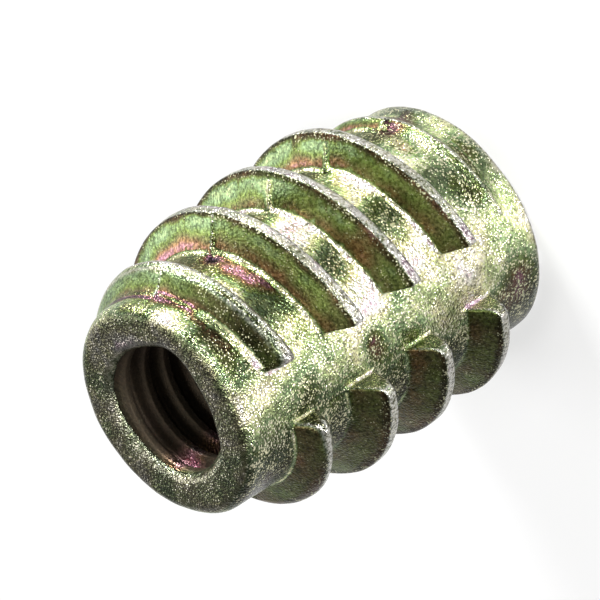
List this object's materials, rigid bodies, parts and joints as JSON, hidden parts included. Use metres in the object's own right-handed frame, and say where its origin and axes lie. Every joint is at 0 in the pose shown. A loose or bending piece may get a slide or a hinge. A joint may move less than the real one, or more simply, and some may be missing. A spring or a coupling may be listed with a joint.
{
  "type": "threaded insert",
  "caption": "Screw-in threaded insert for wood: a tapered cast barrel with a coarse outer thread broken by two plain bands, a threaded through bore and a hexagon socket in the drive end.",
  "frame": {"origin": "centre of the drive end's face, on the axis of the bore", "axes": "+Z along the bore from the drive end to the lead end, +Y square to the plane where the casting die parts, +X along that plane"},
  "size_m": [0.0116, 0.0112, 0.015],
  "materials": {
    "plated_zinc": "zinc alloy casting with an iridescent yellow chromate plating, semi-gloss and lightly grained"
  },
  "bodies": {
    "root": {"insert": "plated_zinc"}
  },
  "joints": []
}
